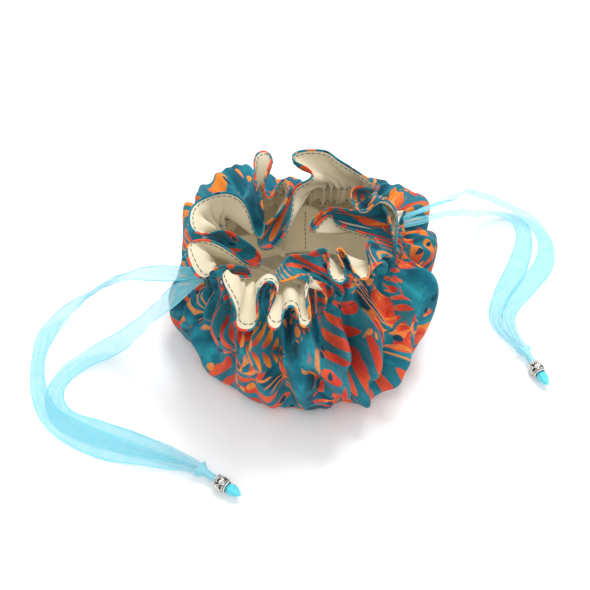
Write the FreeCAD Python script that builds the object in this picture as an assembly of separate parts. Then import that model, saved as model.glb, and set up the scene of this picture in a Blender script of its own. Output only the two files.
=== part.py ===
"""Drawstring pouch for dice: two gathered circles of cotton, an inner ring of pockets and two ribbons.

Millimetres. +Z is up and the two ribbon exits are on -X and +X. The origin is on the table, under the
middle of the bag. The mouth is drawn half shut, and the ribbons lie on the table in front of the bag.
"""
import FreeCAD
import Part
import math
import os

from FreeCAD import Vector

# Cloth
COTTON = 0.5                    # thickness of the printed cotton
LINING = 0.4                    # thickness of the lining and of the pocket cloth
PLY_GAP = 0.3                   # free space between two layers of cloth
CHANNEL_SPACE = 2.4             # free space for the ribbons between the two layers at the neck

# The filled shape of the bag, from the table to the neck: height, half width, half depth
BODY = [
    (0.0, 56.0, 53.0), (1.5, 62.0, 59.0), (5.0, 67.5, 64.0), (12.0, 72.0, 68.5), (22.0, 74.0, 70.0),
    (32.0, 73.0, 69.0), (40.0, 69.5, 63.5), (46.0, 64.5, 55.0), (50.0, 60.0, 47.0), (53.0, 56.5, 41.0),
]
NECK_HALF_WIDTH = 55.0
NECK_HALF_DEPTH = 38.0
CHANNEL_BOTTOM = 55.5
CHANNEL_TOP = 67.5
CHANNEL_LEVELS = [CHANNEL_BOTTOM, 58.5, 61.5, 64.5, CHANNEL_TOP]

# The ruffled edge above the neck, lobe and fold in turn: direction in degrees, radius, height
RIM = [
    (-47, 50, 81), (-28, 42, 86), (0, 47, 88), (25, 40, 88), (52, 50, 90), (75, 40, 88), (98, 50, 90),
    (122, 40, 86), (150, 56, 91), (168, 47, 86), (186, 61, 88), (204, 48, 84), (221, 64, 77),
    (233, 52, 82), (246, 63, 79), (257, 44, 84), (269, 51, 85), (280, 42, 84), (291, 50, 82), (303, 42, 86),
]
HEADER_SHARES = [0.2, 0.45, 0.72, 1.0]
STEPS_ROUND = 120               # points round each level of cloth

# Pockets
POCKETS = 8
POCKET_LEVELS = [(0.0, 50.0), (1.2, 56.0), (4.0, 61.0), (10.0, 65.0), (18.0, 67.5), (26.0, 68.5)]
POCKET_DEPTH = 10.0             # how far a pocket stands off the lining between two rows of stitches
POCKET_ROUND = 0.945            # half depth of the pocket ring over its half width

# Threads
THREAD = 0.6
THREAD_GAP = 0.1                # free space between a row of stitches and its cloth
LOWER_ROW_GAP = 0.8             # the same for the row under the channel, where the bag widens
ROW_HEIGHT = 0.9
TOPSTITCH_BELOW_RIM = 2.6

# Ribbons, in their crumpled size, and the beads on their ends
RIBBON_TUBE = 3.0
BAND_HEIGHT = 4.4
BAND_THICKNESS = 1.0
LEFT_BAND_LEVEL = 63.2
RIGHT_BAND_LEVEL = 58.6
STRAND_APART = 3.8              # distance between the two strands in an exit
LEFT_STRAND_LEVEL = 62.8
RIGHT_STRAND_LEVEL = 59.0
STRAND_APART_AT_BEAD = 3.2
EXIT_WIDTH = 12.0
EXIT_HEIGHT = 8.0
EXIT_LEVEL = 60.9
EXIT_BORDER = 1.2
EXIT_BORDER_THICKNESS = 0.8
EXIT_CUT = 2.0                  # the slot is cut this far each way from the face of the neck
BEAD_LENGTH = 7.5
BEAD_RADIUS = 4.0
BEAD_COLLAR_RADIUS = 3.3
BEAD_BORE = 2.35
BEAD_LEVEL = 4.1
GATHER_LENGTH = 8.0             # ribbon gathered thin behind the bead, on which the bead slides
GATHER_RADIUS = 2.1
FLARE_LENGTH = 1.5
FLARE_RADIUS = 3.2
TIP_LENGTH = 8.0
TIP_RADIUS = 2.7

# The middle of each bead on the table and the direction of its ribbon's tip
LEFT_BEAD = (-75.0, -79.5)
LEFT_TIP_DIRECTION = (0.54, -0.842)
RIGHT_BEAD = (101.0, -78.0)
RIGHT_TIP_DIRECTION = (-0.02, -1.0)

# Route points of the four strands between their exit and their bead
LEFT_UPPER_ROUTE = [
    (-64, 4.5, 62.5), (-78, 20, 54), (-90, 40, 34), (-110, 54, 10), (-133, 48, 2), (-145, 22, 1.8),
    (-146, -8, 1.8), (-128, -32, 1.8), (-106, -50, 2), (-90, -62, 3.2),
]
LEFT_LOWER_ROUTE = [
    (-63, -2.2, 61), (-74, 1, 50), (-84, 9, 30), (-100, 16, 10), (-122, 19, 2), (-139, 8, 1.8),
    (-140, -12, 1.8), (-124, -27, 1.8), (-104, -44, 1.8), (-88, -58, 3),
]
RIGHT_UPPER_ROUTE = [
    (64, 3.2, 58.6), (80, 8, 54), (98, 20, 42), (118, 34, 28), (138, 38, 12), (156, 26, 3),
    (160, 6, 1.8), (148, -14, 1.8), (126, -26, 1.8), (106, -38, 1.8), (102.4, -56, 2.5),
]
RIGHT_LOWER_ROUTE = [
    (64, -2, 57.5), (79, 3, 51), (97, 14, 36), (118, 23, 20), (138, 29, 7), (152, 23, 2.5),
    (147, 7, 1.8), (130, -11, 1.8), (112, -24, 1.8), (98, -38, 1.8), (98, -53, 2.5),
]
RUN_SHARE = 0.45                # an arc takes this share of the shorter run beside it


def directions():
    return [2 * math.pi * k / STEPS_ROUND for k in range(STEPS_ROUND)]


def ellipse_radius(half_width, half_depth, angle):
    return 1 / math.hypot(math.cos(angle) / half_width, math.sin(angle) / half_depth)


def rim_at(angle):
    """Radius and height of the ruffled edge in one direction, eased from lobe to fold."""
    degrees = math.degrees(angle)
    turns = [(entry, following) for entry, following in zip(RIM, RIM[1:] + RIM[:1])]
    for (start, r0, z0), (end, r1, z1) in turns:
        span = (end - start) % 360
        passed = (degrees - start) % 360
        if passed < span:
            share = (1 - math.cos(math.pi * passed / span)) / 2
            return r0 + (r1 - r0) * share, z0 + (z1 - z0) * share


def round_point(radius, angle, height):
    return Vector(radius * math.cos(angle), radius * math.sin(angle), height)


def bag_grid():
    """Points of the outside of the printed cotton, one list per level from the table to the rim."""
    grid = []
    neck = [(z, NECK_HALF_WIDTH, NECK_HALF_DEPTH) for z in CHANNEL_LEVELS]
    for z, half_width, half_depth in BODY + neck:
        grid.append([round_point(ellipse_radius(half_width, half_depth, a), a, z) for a in directions()])
    for share in HEADER_SHARES:
        level = []
        for a in directions():
            neck_radius = ellipse_radius(NECK_HALF_WIDTH, NECK_HALF_DEPTH, a)
            rim_radius, rim_height = rim_at(a)
            radius = neck_radius + (rim_radius - neck_radius) * share ** 1.3
            level.append(round_point(radius, a, CHANNEL_TOP + (rim_height - CHANNEL_TOP) * share))
        grid.append(level)
    return grid


def pocket_grid():
    """Points of the outer face of the pocket cloth: it meets the lining at the rows of stitches."""
    grid = []
    top = POCKET_LEVELS[-1][0]
    for z, half_width in POCKET_LEVELS:
        level = []
        for a in directions():
            slack = POCKET_DEPTH * math.sin(math.pi / 2 * z / top) * math.cos(POCKETS / 2 * a) ** 2
            radius = ellipse_radius(half_width, half_width * POCKET_ROUND, a) - slack
            level.append(round_point(radius, a, z))
        grid.append(level)
    return grid


def offset_grid(grid, depths):
    """The grid moved inwards along its normals, by one depth per level."""
    last = len(grid) - 1
    moved = []
    for i, level in enumerate(grid):
        row = []
        for j, point in enumerate(level):
            along = level[(j + 1) % len(level)] - level[j - 1]
            up = grid[min(i + 1, last)][j] - grid[max(i - 1, 0)][j]
            normal = along.cross(up)
            normal.normalize()
            row.append(point - normal * depths[i])
        moved.append(row)
    return moved


def skin(grid):
    """A smooth surface through the grid, closed round the bag; its first direction goes up the levels."""
    surface = Part.BSplineSurface()
    surface.interpolate([level + level[:1] for level in grid])
    return surface


def flatten_bottom(surface, height):
    for column in range(1, surface.NbVPoles + 1):
        pole = surface.getPole(1, column)
        pole.z = height
        surface.setPole(1, column, pole)


def level_edge(surface, share):
    """The closed edge of a skin at its lowest level (0) or at its highest (1)."""
    low, high = surface.bounds()[:2]
    return surface.uIso(low + (high - low) * share).toShape()


def edge_strip(outer, inner, share):
    """The narrow strip between the two faces of a cloth, along its cut edge."""
    return Part.makeRuledSurface(level_edge(outer, share), level_edge(inner, share))


def closed_solid(shapes, name):
    faces = []
    for shape in shapes:
        faces.extend(shape.Faces)
    shell = Part.Shell(faces)
    shell.sewShape()
    solid = Part.Solid(shell)
    if solid.Volume < 0:
        solid.reverse()
    print(f"{name}: valid {solid.isValid()}, volume {solid.Volume:.1f} mm3")
    return solid


def cloth_cup(grid, depths, thickness, name):
    """A cup of cloth with a flat closed bottom: its outer face lies depths inside the grid."""
    outer = offset_grid(grid, depths)
    inner = offset_grid(grid, [d + thickness for d in depths])
    outer_height = grid[0][0].z + depths[0]
    for level, height in ((outer[0], outer_height), (inner[0], outer_height + thickness)):
        for point in level:
            point.z = height
    outer, inner = skin(outer), skin(inner)
    flatten_bottom(outer, outer_height)
    flatten_bottom(inner, outer_height + thickness)
    bottoms = [Part.Face(Part.Wire([level_edge(surface, 0)])) for surface in (outer, inner)]
    return closed_solid([outer.toShape(), inner.toShape(), edge_strip(outer, inner, 1)] + bottoms, name)


def cloth_ring(grid, depth, thickness, name):
    """A closed ring of cloth or thread, open above and below."""
    outer = skin(offset_grid(grid, [depth] * len(grid)))
    inner = skin(offset_grid(grid, [depth + thickness] * len(grid)))
    ends = [edge_strip(outer, inner, share) for share in (0, 1)]
    return closed_solid([outer.toShape(), inner.toShape()] + ends, name)


def band_grid(level, height):
    """Levels of a band that goes round the neck."""
    grid = []
    for share in (-0.5, 0.0, 0.5):
        z = level + share * height
        ring = [
            round_point(ellipse_radius(NECK_HALF_WIDTH, NECK_HALF_DEPTH, a), a, z) for a in directions()
        ]
        grid.append(ring)
    return grid


def rim_band_grid():
    """Levels of the row of stitches just under the ruffled edge."""
    below, top = bag_grid()[-2:]
    grid = []
    for drop in (TOPSTITCH_BELOW_RIM + ROW_HEIGHT, TOPSTITCH_BELOW_RIM + ROW_HEIGHT / 2, TOPSTITCH_BELOW_RIM):
        level = []
        for low, high in zip(below, top):
            step = low - high
            level.append(high + step * (drop / step.Length))
        grid.append(level)
    return grid


def exit_block(side, grow, start, end):
    """A stadium-shaped block along X through the exit, larger than the slot by grow all round."""
    radius = EXIT_HEIGHT / 2 + grow
    straight = EXIT_WIDTH - EXIT_HEIGHT
    corner = Vector(start, -straight / 2, EXIT_LEVEL - radius)
    block = Part.makeBox(end - start, straight, 2 * radius, corner)
    for offset in (-straight / 2, straight / 2):
        centre = Vector(start, offset, EXIT_LEVEL)
        block = block.fuse(Part.makeCylinder(radius, end - start, centre, Vector(1, 0, 0)))
    block = block.removeSplitter()
    if side < 0:
        block = block.mirror(Vector(0, 0, 0), Vector(1, 0, 0))
    return block


def outer_cotton():
    grid = bag_grid()
    cup = cloth_cup(grid, [0.0] * len(grid), COTTON, "outer_cotton whole")
    for side in (-1, 1):
        cup = cup.cut(exit_block(side, 0, NECK_HALF_WIDTH - EXIT_CUT, NECK_HALF_WIDTH + EXIT_CUT))
    return cup


def lining():
    grid = bag_grid()
    depths = []
    for level in grid:
        height = level[0].z
        in_channel = CHANNEL_BOTTOM < height < CHANNEL_TOP
        depths.append(COTTON + (CHANNEL_SPACE if in_channel else PLY_GAP))
    return cloth_cup(grid, depths, LINING, "lining")


def pocket_ring():
    grid = pocket_grid()
    base = COTTON + LINING + 2 * PLY_GAP
    for level in grid:
        for point in level:
            point.z += base
    return cloth_cup(grid, [0.0] * len(grid), LINING, "pocket_ring")


def tube(points, name):
    """A round tube along straight runs joined by tangent arcs."""
    points = [Vector(*p) for p in points]
    edges = []
    radii = []
    start = points[0]
    for before, corner, after in zip(points, points[1:], points[2:]):
        back = (before - corner).normalize()
        ahead = (after - corner).normalize()
        half_turn = (math.pi - back.getAngle(ahead)) / 2
        reach = RUN_SHARE * min((before - corner).Length, (after - corner).Length)
        radius = reach / math.tan(half_turn)
        radii.append(radius)
        middle = (back + ahead).normalize()
        centre = corner + middle * (radius / math.cos(half_turn))
        arc_start = corner + back * reach
        arc_end = corner + ahead * reach
        edges.append(Part.LineSegment(start, arc_start).toShape())
        edges.append(Part.Arc(arc_start, centre - middle * radius, arc_end).toShape())
        start = arc_end
    edges.append(Part.LineSegment(start, points[-1]).toShape())
    path = Part.Wire(edges)
    first = (points[1] - points[0]).normalize()
    profile = Part.Wire([Part.makeCircle(RIBBON_TUBE / 2, points[0], first)])
    solid = path.makePipeShell([profile], True, True)
    section = math.pi * RIBBON_TUBE ** 2 / 4
    print(f"{name}: length {path.Length:.1f}, volume over section times length "
          f"{solid.Volume / (section * path.Length):.4f}, radii {[round(r, 1) for r in radii]}")
    return solid


def strand_start(side, level, offset):
    """A strand starts just off the outer face of its band in the channel, inside the exit."""
    face = NECK_HALF_WIDTH - COTTON - PLY_GAP
    return (side * (face + PLY_GAP), offset, level)


def strand_end(bead, tip, offset):
    """A strand ends at the flare behind the bead, beside the axis by offset."""
    back = BEAD_LENGTH / 2 + GATHER_LENGTH + FLARE_LENGTH + PLY_GAP
    return (bead[0] - tip[0] * back - tip[1] * offset, bead[1] - tip[1] * back + tip[0] * offset, BEAD_LEVEL)


def strand(side, level, exit_offset, route, bead, tip, bead_offset, name):
    points = [strand_start(side, level, exit_offset)] + route + [strand_end(bead, tip, bead_offset)]
    return tube(points, name)


def turned(profile, bead, tip):
    """A profile of (distance along the axis, radius) points turned about the bead's axis."""
    outline = [Vector(x, 0, r) for x, r in profile]
    face = Part.Face(Part.makePolygon(outline + outline[:1]))
    solid = face.revolve(Vector(0, 0, 0), Vector(1, 0, 0), 360)
    solid.rotate(Vector(0, 0, 0), Vector(0, 0, 1), math.degrees(math.atan2(tip[1], tip[0])))
    solid.translate(Vector(bead[0], bead[1], BEAD_LEVEL))
    return solid


def bead_solid(bead, tip):
    half = BEAD_LENGTH / 2
    collar = half - 1.2
    profile = [
        (-half, BEAD_BORE), (-half, BEAD_COLLAR_RADIUS), (-collar, BEAD_COLLAR_RADIUS),
        (-collar / 2, BEAD_RADIUS), (collar / 2, BEAD_RADIUS),
        (collar, BEAD_COLLAR_RADIUS), (half, BEAD_COLLAR_RADIUS), (half, BEAD_BORE),
    ]
    return turned(profile, bead, tip)


def ribbon_tip(bead, tip):
    """The two strands gathered through the bead, with their folded ends beyond it."""
    half = BEAD_LENGTH / 2
    gather = -half - GATHER_LENGTH
    profile = [
        (gather - FLARE_LENGTH, 0.0), (gather - FLARE_LENGTH, FLARE_RADIUS), (gather, GATHER_RADIUS),
        (half + 0.3, GATHER_RADIUS), (half + 2.0, TIP_RADIUS), (half + TIP_LENGTH * 0.6, TIP_RADIUS * 0.8),
        (half + TIP_LENGTH, 0.0),
    ]
    return turned(profile, bead, tip)


def exit_stitching(side):
    """The sewn border round the slot that a ribbon comes out of."""
    start = NECK_HALF_WIDTH + PLY_GAP
    end = start + EXIT_BORDER_THICKNESS
    return exit_block(side, EXIT_BORDER, start, end).cut(exit_block(side, 0, start - 1, end + 1))


def pocket_row(number):
    """One upright row of stitches between two pockets, on the face of the pocket cloth."""
    angle = 2 * math.pi * (number + 0.5) / POCKETS
    base = COTTON + LINING + 2 * PLY_GAP
    face = [
        (ellipse_radius(w, w * POCKET_ROUND, angle) - LINING, z + base) for z, w in POCKET_LEVELS[2:]
    ]
    near = [Vector(r - PLY_GAP, 0, z) for r, z in face]
    far = [Vector(r - PLY_GAP - THREAD, 0, z) for r, z in reversed(face)]
    strip = Part.Face(Part.makePolygon(near + far + near[:1])).extrude(Vector(0, THREAD, 0))
    strip.translate(Vector(0, -THREAD / 2, 0))
    strip.rotate(Vector(0, 0, 0), Vector(0, 0, 1), math.degrees(angle))
    return strip


def all_parts():
    half_exit = STRAND_APART / 2
    half_bead = STRAND_APART_AT_BEAD / 2
    parts = {
        "outer_cotton": outer_cotton(),
        "lining": lining(),
        "pocket_ring": pocket_ring(),
        "rim_topstitch": cloth_ring(
            rim_band_grid(), COTTON + PLY_GAP + LINING + THREAD_GAP, THREAD, "rim_topstitch"),
        "channel_stitch_lower": cloth_ring(
            band_grid(CHANNEL_BOTTOM - 0.5, ROW_HEIGHT), -LOWER_ROW_GAP - THREAD, THREAD,
            "channel_stitch_lower"),
        "channel_stitch_upper": cloth_ring(
            band_grid(CHANNEL_TOP + 0.5, ROW_HEIGHT), -THREAD_GAP - THREAD, THREAD,
            "channel_stitch_upper"),
        "exit_stitching_left": exit_stitching(-1),
        "exit_stitching_right": exit_stitching(1),
        "channel_ribbon_left": cloth_ring(
            band_grid(LEFT_BAND_LEVEL, BAND_HEIGHT), COTTON + PLY_GAP, BAND_THICKNESS,
            "channel_ribbon_left"),
        "channel_ribbon_right": cloth_ring(
            band_grid(RIGHT_BAND_LEVEL, BAND_HEIGHT), COTTON + PLY_GAP, BAND_THICKNESS,
            "channel_ribbon_right"),
        "ribbon_left_upper": strand(-1, LEFT_STRAND_LEVEL, half_exit, LEFT_UPPER_ROUTE, LEFT_BEAD,
                                    LEFT_TIP_DIRECTION, -half_bead, "ribbon_left_upper"),
        "ribbon_left_lower": strand(-1, LEFT_STRAND_LEVEL, -half_exit, LEFT_LOWER_ROUTE, LEFT_BEAD,
                                    LEFT_TIP_DIRECTION, half_bead, "ribbon_left_lower"),
        "ribbon_right_upper": strand(1, RIGHT_STRAND_LEVEL, half_exit, RIGHT_UPPER_ROUTE, RIGHT_BEAD,
                                     RIGHT_TIP_DIRECTION, half_bead, "ribbon_right_upper"),
        "ribbon_right_lower": strand(1, RIGHT_STRAND_LEVEL, -half_exit, RIGHT_LOWER_ROUTE, RIGHT_BEAD,
                                     RIGHT_TIP_DIRECTION, -half_bead, "ribbon_right_lower"),
    }
    ends = (("left", LEFT_BEAD, LEFT_TIP_DIRECTION), ("right", RIGHT_BEAD, RIGHT_TIP_DIRECTION))
    for side, bead, tip in ends:
        parts[f"bead_{side}"] = bead_solid(bead, tip)
        parts[f"ribbon_tip_{side}"] = ribbon_tip(bead, tip)
    for number in range(POCKETS):
        parts[f"pocket_row_{number + 1}"] = pocket_row(number)
    return parts


def main():
    os.makedirs("parts", exist_ok=True)
    for name, shape in all_parts().items():
        shape.exportStep(f"parts/{name}.step")
        box = shape.BoundBox
        print(f"{name}: {box.XLength:.1f} x {box.YLength:.1f} x {box.ZLength:.1f}, "
              f"solids {len(shape.Solids)}, valid {shape.isValid()}, volume {shape.Volume:.1f}")


main()
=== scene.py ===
"""Drawstring dice bag: printed cotton pouch with a cream lining, two organza ribbons and silver beads."""
import math

import bpy
import numpy as np
from mathutils import Matrix, Vector


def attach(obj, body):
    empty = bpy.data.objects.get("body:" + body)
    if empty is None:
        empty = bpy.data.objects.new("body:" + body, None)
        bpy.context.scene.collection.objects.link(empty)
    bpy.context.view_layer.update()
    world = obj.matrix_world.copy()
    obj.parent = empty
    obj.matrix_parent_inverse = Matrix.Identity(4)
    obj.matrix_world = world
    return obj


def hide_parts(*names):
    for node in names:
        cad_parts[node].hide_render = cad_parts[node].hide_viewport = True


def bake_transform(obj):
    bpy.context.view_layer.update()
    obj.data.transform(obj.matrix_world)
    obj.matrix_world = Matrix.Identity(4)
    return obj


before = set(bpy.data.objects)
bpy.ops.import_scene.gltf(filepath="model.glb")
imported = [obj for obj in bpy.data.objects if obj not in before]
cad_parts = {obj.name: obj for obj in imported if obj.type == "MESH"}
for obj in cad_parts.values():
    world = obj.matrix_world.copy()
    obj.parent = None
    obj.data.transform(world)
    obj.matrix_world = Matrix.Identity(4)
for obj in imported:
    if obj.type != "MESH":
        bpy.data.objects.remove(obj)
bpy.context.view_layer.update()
MM = 0.001
RNG = np.random.default_rng(7)

# ---------------- the bag's sizes, millimetres
CLOTH_RADIUS = 175.0
CHANNEL_TOP_CUT = 148.0         # distance of the upper channel row from the middle of the flat circle
CHANNEL_BOTTOM_CUT = 130.0
COLUMNS = 720
NECK_WIDTH, NECK_DEPTH = 51.0, 36.0
NECK_TOP = 66.0
PLY = 0.7                       # distance from the printed cotton to the lining
CHANNEL_PLY = 0.7               # what the ribbons in the channel add to it
GATHER_DEPTH, MIDDLE_DEPTH, BROAD_DEPTH, CREASE_DEPTH = 4.9, 6.2, 3.6, 1.1
INWARD_MORE = 0.55              # share of a ridge's height that is kept where the body is fullest
NECK_MM_PER_DEGREE = 0.9
LEFT_DENT, LEFT_DENT_DIRECTION, LEFT_DENT_CUT = 4.0, 184, 76    # a dimple low on the left
EXIT_HEIGHT = 60.9              # middle of the slots that the ribbons come out of
EXIT_HALF_WIDTH, EXIT_HALF_HEIGHT = 4.6, 3.4
TOPSTITCH_INSET = 2.8

# The ruffled edge, lobe by lobe, going round anticlockwise from the front left
RIM = {
    "front_left": [
        (-49, -21, 84), (-51, -25, 84), (-51, -30, 83), (-50, -36, 80), (-50, -40, 77), (-52, -42, 73),
        (-51, -44, 70), (-46, -46, 69), (-43, -47, 71), (-41, -44, 75), (-40, -40, 80), (-37, -36, 83),
    ],
    "front_fold": [(-33, -33, 84), (-30, -35, 84), (-29, -39, 83), (-33, -43, 81)],
    "front_low": [
        (-38, -47, 78), (-39, -51, 76), (-37, -55, 75), (-33, -54, 76), (-31, -50, 79), (-28, -48, 81),
        (-26, -49, 82), (-25, -51, 80),
    ],
    "front_middle": [
        (-26, -56, 77), (-25, -59, 76), (-21, -59, 77), (-20, -56, 80), (-21, -51, 83), (-18, -46, 84),
        (-15, -43, 85), (-17, -39, 86), (-21, -36, 85), (-26, -36, 84), (-28, -32, 83),
    ],
    "front_inward": [
        (-24, -27, 82), (-18, -21, 80), (-14, -18, 79), (-11, -21, 80), (-8, -24, 82), (-4, -23, 82),
        (1, -22, 82), (0, -28, 83),
    ],
    "front_finger": [
        (-3, -34, 83), (-4, -41, 81), (0, -45, 80), (4, -42, 80), (5, -35, 82), (5, -28, 83),
        (6, -25, 83),
    ],
    "front_right": [
        (8, -27, 83), (8, -34, 81), (9, -40, 78), (12, -44, 76), (16, -42, 77), (18, -36, 80),
        (20, -28, 82), (23, -25, 81),
    ],
    "right_fold": [(29, -26, 78), (27, -19, 77), (23, -11, 75), (18, -3, 73), (16, 2, 73), (18, 5, 74)],
    "right_flap": [
        (14, 6, 73), (8, 4, 70), (4, 2, 68), (6, 6, 70), (11, 7, 74), (15, 5, 78), (19, 1, 80),
        (24, -4, 81), (30, -7, 82),
    ],
    "right_finger": [
        (36, -6, 84), (37, -11, 85), (36, -20, 84), (34, -28, 80), (33, -35, 75), (36, -29, 78),
        (39, -23, 83), (41, -18, 86), (41, -11, 87), (38, -7, 87), (34, -6, 85), (29, -8, 83),
        (26, -4, 82), (27, 4, 82), (29, 8, 84),
    ],
    "back_right": [
        (34, 6, 85), (38, 0, 86), (39, 3, 88), (37, 9, 88), (34, 16, 88), (32, 23, 87), (29, 27, 88),
        (27, 34, 88), (21, 38, 88), (14, 40, 88), (9, 39, 88), (7, 34, 88),
    ],
    "back_fold": [
        (12, 30, 86), (15, 25, 84), (11, 23, 83), (5, 23, 82), (1, 20, 79), (-3, 12, 75), (-10, 4, 70),
        (-18, 0, 67), (-23, 3, 67),
    ],
    "back_finger": [
        (-21, 8, 70), (-16, 10, 74), (-9, 11, 78), (-3, 15, 82), (0, 21, 86), (0, 26, 86), (-4, 25, 84),
        (-9, 20, 82), (-12, 20, 81),
    ],
    "back_left": [
        (-12, 24, 84), (-9, 29, 87), (-4, 36, 88), (-1, 40, 88), (-2, 46, 88), (-8, 45, 89),
        (-12, 39, 89), (-15, 29, 88), (-16, 20, 85), (-17, 13, 80), (-19, 8, 74),
    ],
    "left_back": [
        (-22, 5, 71), (-23, 9, 75), (-23, 14, 81), (-24, 19, 85), (-28, 23, 88), (-33, 25, 89),
        (-41, 24, 90), (-47, 23, 89), (-52, 19, 88), (-55, 11, 87), (-54, 6, 86), (-48, 4, 85),
        (-43, 5, 84), (-38, 4, 83), (-33, 1, 79), (-28, -2, 74),
    ],
    "left": [
        (-25, -6, 69), (-28, -10, 69), (-34, -9, 73), (-39, -6, 79), (-45, -2, 84), (-51, 0, 87),
        (-57, 0, 88), (-61, -4, 88), (-62, -11, 86), (-61, -16, 83), (-58, -18, 80), (-53, -16, 81),
        (-48, -15, 82), (-41, -16, 80), (-35, -17, 77), (-36, -21, 76), (-41, -21, 79), (-46, -21, 82),
    ],
}
RIM_START = 205.0               # direction of the neck, in degrees, under the first rim point

# The filled body: height, half width, half depth and distance from the middle of the flat circle
BODY = [
    (0.0, 54.0, 51.0, 50.0), (0.6, 57.0, 54.0, 54.0), (3.0, 62.5, 59.5, 60.0), (8.0, 67.0, 65.0, 67.0),
    (16.0, 70.5, 68.0, 76.0), (25.0, 71.5, 68.5, 86.0), (34.0, 70.5, 67.0, 96.0),
    (42.0, 67.0, 62.0, 107.0), (48.0, 61.5, 53.5, 118.0), (51.5, 56.0, 44.5, 125.0),
]

# Folds of the body: direction at the neck and at the foot, height (negative in a valley), width in degrees
FOLDS = [
    (252, 277, 12.0, 4.2), (301, 283, 12.0, 4.0), (174, 197, 6.5, 5.5), (275, 265, -12.0, 4.0),
    (225, 218, 6.0, 5.5), (238, 242, -10.0, 4.4), (206, 209, 4.0, 5.0), (322, 316, 8.0, 5.2),
    (338, 335, -6.5, 5.0), (350, 356, 4.5, 6.5), (12, 18, 4.0, 7.5), (40, 44, 5.0, 7.5),
    (72, 66, 5.5, 6.5), (98, 104, 5.0, 7.5), (130, 128, 5.5, 7.5), (152, 160, 4.6, 6.5),
]
# Where the cloth puffs out, or draws in where outwards is negative:
# outwards, upwards, direction, its spread, distance on the flat cloth, its spread
FULL_PLACES = [
    (14.0, 8.0, 20, 27, 110, 14), (14.0, 17.0, 108, 26, 114, 13), (-8.0, -2.0, 165, 20, 108, 15),
    (-5.0, 0.0, 322, 32, 82, 24), (-12.0, 0.0, 202, 22, 89, 23), (-4.0, 0.0, 245, 20, 75, 22),
]

# Ribbons: the strands' route points between exit and bead, millimetres
ROUTES = {
    "ribbon_left_upper": [
        (-54.5, 1.9, 62.8), (-64, 4.5, 62.5), (-78, 20, 54), (-90, 40, 34), (-110, 54, 10),
        (-133, 48, 2), (-145, 22, 1.8), (-146, -8, 1.8), (-128, -32, 1.8), (-106, -50, 2),
        (-90, -62, 3.2), (-83.7, -69.1, 4.1),
    ],
    "ribbon_left_lower": [
        (-54.5, -1.9, 62.8), (-63, -2.2, 61), (-74, 1, 50), (-84, 9, 30), (-100, 16, 10), (-122, 19, 2),
        (-139, 8, 1.8), (-140, -12, 1.8), (-124, -27, 1.8), (-104, -44, 1.8), (-88, -58, 3),
        (-81.0, -67.4, 4.1),
    ],
    "ribbon_right_upper": [
        (54.5, 1.9, 59), (64, 3.2, 58.6), (80, 8, 54), (98, 20, 42), (118, 34, 28), (138, 38, 12),
        (156, 26, 3), (160, 6, 1.8), (148, -14, 1.8), (126, -26, 1.8), (106, -38, 1.8),
        (102.4, -56, 2.5), (102.6, -64.5, 4.1),
    ],
    "ribbon_right_lower": [
        (54.5, -1.9, 59), (64, -2, 57.5), (79, 3, 51), (97, 14, 36), (118, 23, 20), (138, 29, 7),
        (152, 23, 2.5), (147, 7, 1.8), (130, -11, 1.8), (112, -24, 1.8), (98, -38, 1.8), (98, -53, 2.5),
        (99.4, -64.5, 4.1),
    ],
}
RIBBON_WIDTH = 15.0
BEAD = {                        # middle of the bead and the way its ribbon's point looks
    "left": ((-75.0, -79.5, 4.1), (0.54, -0.842, 0.0)),
    "right": ((101.0, -78.0, 4.1), (-0.02, -1.0, 0.0)),
}
BEAD_LENGTH = 7.5
BEAD_SHARE = 0.9                # the drawn bead against its solid

# Camera: where it stands, millimetres, and the way it looks
CAMERA_PLACE = (-120.5, -285.6, 392.7)
CAMERA_AZIMUTH, CAMERA_ELEVATION = -22.0, 50.0
CAMERA_LENS = 54.9


# ---------------- helpers
def mesh_object(name, points, faces, material, uv=None, smooth=True):
    mesh = bpy.data.meshes.new(name)
    mesh.from_pydata([tuple(p) for p in np.asarray(points) * MM], [], faces)
    if uv is not None:
        layer = mesh.uv_layers.new(name="cloth")
        corner = np.empty(len(mesh.loops), dtype=np.int32)
        mesh.loops.foreach_get("vertex_index", corner)
        layer.data.foreach_set("uv", np.asarray(uv)[corner].ravel())
    mesh.materials.append(material)
    if smooth:
        mesh.polygons.foreach_set("use_smooth", [True] * len(mesh.polygons))
    obj = bpy.data.objects.new(name, mesh)
    bpy.context.scene.collection.objects.link(obj)
    return obj


def grid_faces(rows, columns, wrap=True):
    """Four-cornered faces over rows of points; wrap joins the last column to the first."""
    faces = []
    for row in range(rows - 1):
        low, high = row * columns, (row + 1) * columns
        for column in range(columns if wrap else columns - 1):
            after = (column + 1) % columns
            faces.append((low + column, low + after, high + after, high + column))
    return faces


def belongs(piece, body, node_name):
    """Puts a drawn piece on its body, in the place of its solid."""
    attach(piece, body)
    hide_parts(node_name)


def unit(v):
    return v / np.maximum(np.linalg.norm(v, axis=-1, keepdims=True), 1e-9)


def run_along(line):
    """How far each point of a line is from its start, along the line."""
    return np.concatenate([[0], np.cumsum(np.linalg.norm(np.diff(line, axis=0), axis=1))])


def at_runs(at, run, values):
    """The values (one triple for each point of a line) at those distances along it."""
    return np.stack([np.interp(at, run, values[:, k]) for k in range(3)], axis=1)


def ease(x):
    """0 below 0, 1 above 1, smooth between."""
    x = np.clip(x, 0, 1)
    return x * x * (3 - 2 * x)


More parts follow.
